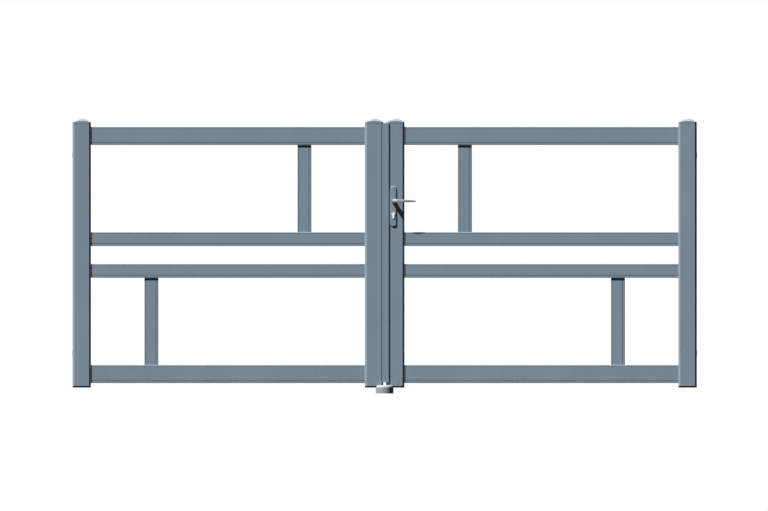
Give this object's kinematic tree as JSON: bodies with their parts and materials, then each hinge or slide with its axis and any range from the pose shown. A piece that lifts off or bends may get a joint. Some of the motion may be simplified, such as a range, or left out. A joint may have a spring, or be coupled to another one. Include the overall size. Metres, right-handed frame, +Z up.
{
  "type": "double-leaf driveway swing gate",
  "caption": "Double-leaf swing gate in painted aluminium box section, with open rail-and-bar panels, a lever lock, a cover strip, a drop bolt, pin hinges and a ground stop.",
  "frame": {"origin": "on the ground, below the middle of the gap between the two leaves and under the middle plane of the stiles, on the ground stop's base", "axes": "+X along the gate to the right seen from the street, +Y away from the street, the way the leaves open, +Z up"},
  "size_m": [3.403, 0.2433, 1.4973],
  "materials": {
    "leaf_paint": "satin powder coat, blue-grey",
    "black_plastic": "moulded, matt",
    "satin_aluminium": "satin anodised",
    "satin_steel": "brushed",
    "zinc_plate": "zinc plated",
    "galvanised_steel": "hot-dip galvanised",
    "cast_grey": "pale grey coated casting",
    "nylon": "glass-filled nylon",
    "nickel_plate": "nickel-plated brass, satin"
  },
  "bodies": {
    "root": {"ground_stop": "cast_grey", "left_lower_gudgeon": "galvanised_steel", "left_upper_gudgeon": "galvanised_steel", "right_lower_gudgeon": "galvanised_steel", "right_upper_gudgeon": "galvanised_steel", "left_lower_hinge_pin": "satin_steel", "left_upper_hinge_pin": "satin_steel", "right_lower_hinge_pin": "satin_steel", "right_upper_hinge_pin": "satin_steel"},
    "left_leaf": {"left_hinge_stile": "leaf_paint", "left_meeting_stile": "leaf_paint", "left_hinge_stile_cap": "leaf_paint", "left_meeting_stile_cap": "leaf_paint", "left_hinge_foot_plug": "black_plastic", "left_meeting_foot_plug": "black_plastic", "left_bottom_rail": "leaf_paint", "left_lower_mid_rail": "leaf_paint", "left_upper_mid_rail": "leaf_paint", "left_top_rail": "leaf_paint", "left_upper_bar": "leaf_paint", "left_lower_bar": "leaf_paint", "left_lower_hinge_eye": "zinc_plate", "left_upper_hinge_eye": "zinc_plate", "left_lower_hinge_bush": "nylon", "left_upper_hinge_bush": "nylon", "meeting_cover_strip": "leaf_paint", "lock_keep": "satin_steel", "drop_bolt_guide": "nylon"},
    "right_leaf": {"right_hinge_stile": "leaf_paint", "right_meeting_stile": "leaf_paint", "right_hinge_stile_cap": "leaf_paint", "right_meeting_stile_cap": "leaf_paint", "right_hinge_foot_plug": "black_plastic", "right_meeting_foot_plug": "black_plastic", "right_bottom_rail": "leaf_paint", "right_lower_mid_rail": "leaf_paint", "right_upper_mid_rail": "leaf_paint", "right_top_rail": "leaf_paint", "right_upper_bar": "leaf_paint", "right_lower_bar": "leaf_paint", "right_lower_hinge_eye": "zinc_plate", "right_upper_hinge_eye": "zinc_plate", "right_lower_hinge_bush": "nylon", "right_upper_hinge_bush": "nylon", "lock_case": "zinc_plate", "lock_faceplate": "satin_steel", "key_cylinder_body": "nickel_plate", "front_handle_plate": "leaf_paint", "rear_handle_plate": "leaf_paint"},
    "lever_set": {"front_lever": "satin_aluminium", "rear_lever": "satin_aluminium", "handle_spindle": "satin_steel", "latch_follower": "zinc_plate"},
    "latch": {"latch_bolt": "satin_steel"},
    "deadlock": {"dead_bolt": "satin_steel"},
    "key_plug": {"key_cylinder_plug": "nickel_plate"},
    "drop_bolt": {"drop_bolt_rod": "galvanised_steel", "drop_bolt_knob": "black_plastic"}
  },
  "joints": [
    {"name": "right_leaf_swing", "type": "hinge", "parent": "root", "child": "right_leaf", "pos_m": [1.679, 0.057, 0.218], "axis": [0, 0, -1], "range_deg": [0, 95]},
    {"name": "left_leaf_swing", "type": "hinge", "parent": "root", "child": "left_leaf", "pos_m": [-1.679, 0.057, 0.218], "axis": [0, 0, 1], "range_deg": [0, 90]},
    {"name": "lever_turn", "type": "hinge", "parent": "right_leaf", "child": "lever_set", "pos_m": [0.047, 0, 1.05], "axis": [0, 1, 0], "range_deg": [0, 40], "stiffness_Nm_per_rad": 1.5, "springref_deg": -28.65},
    {"name": "latch_slide", "type": "slide", "parent": "right_leaf", "child": "latch", "axis": [1, 0, 0], "range_m": [0, 0.013]},
    {"name": "key_turn", "type": "hinge", "parent": "right_leaf", "child": "key_plug", "pos_m": [0.047, 0, 0.978], "axis": [0, 1, 0], "range_deg": [0, 360]},
    {"name": "dead_bolt_slide", "type": "slide", "parent": "right_leaf", "child": "deadlock", "axis": [-1, 0, 0], "range_m": [0, 0.02]},
    {"name": "drop_bolt_slide", "type": "slide", "parent": "left_leaf", "child": "drop_bolt", "axis": [0, 0, -1], "range_m": [0, 0.025]}
  ],
  "couplings": [
    {"joint": "left_leaf_swing", "follows": "right_leaf_swing", "ratio": 0.94737},
    {"joint": "latch_slide", "follows": "lever_turn", "m_per_rad": 0.018621},
    {"joint": "key_turn", "follows": "dead_bolt_slide", "rad_per_m": 314.16}
  ]
}
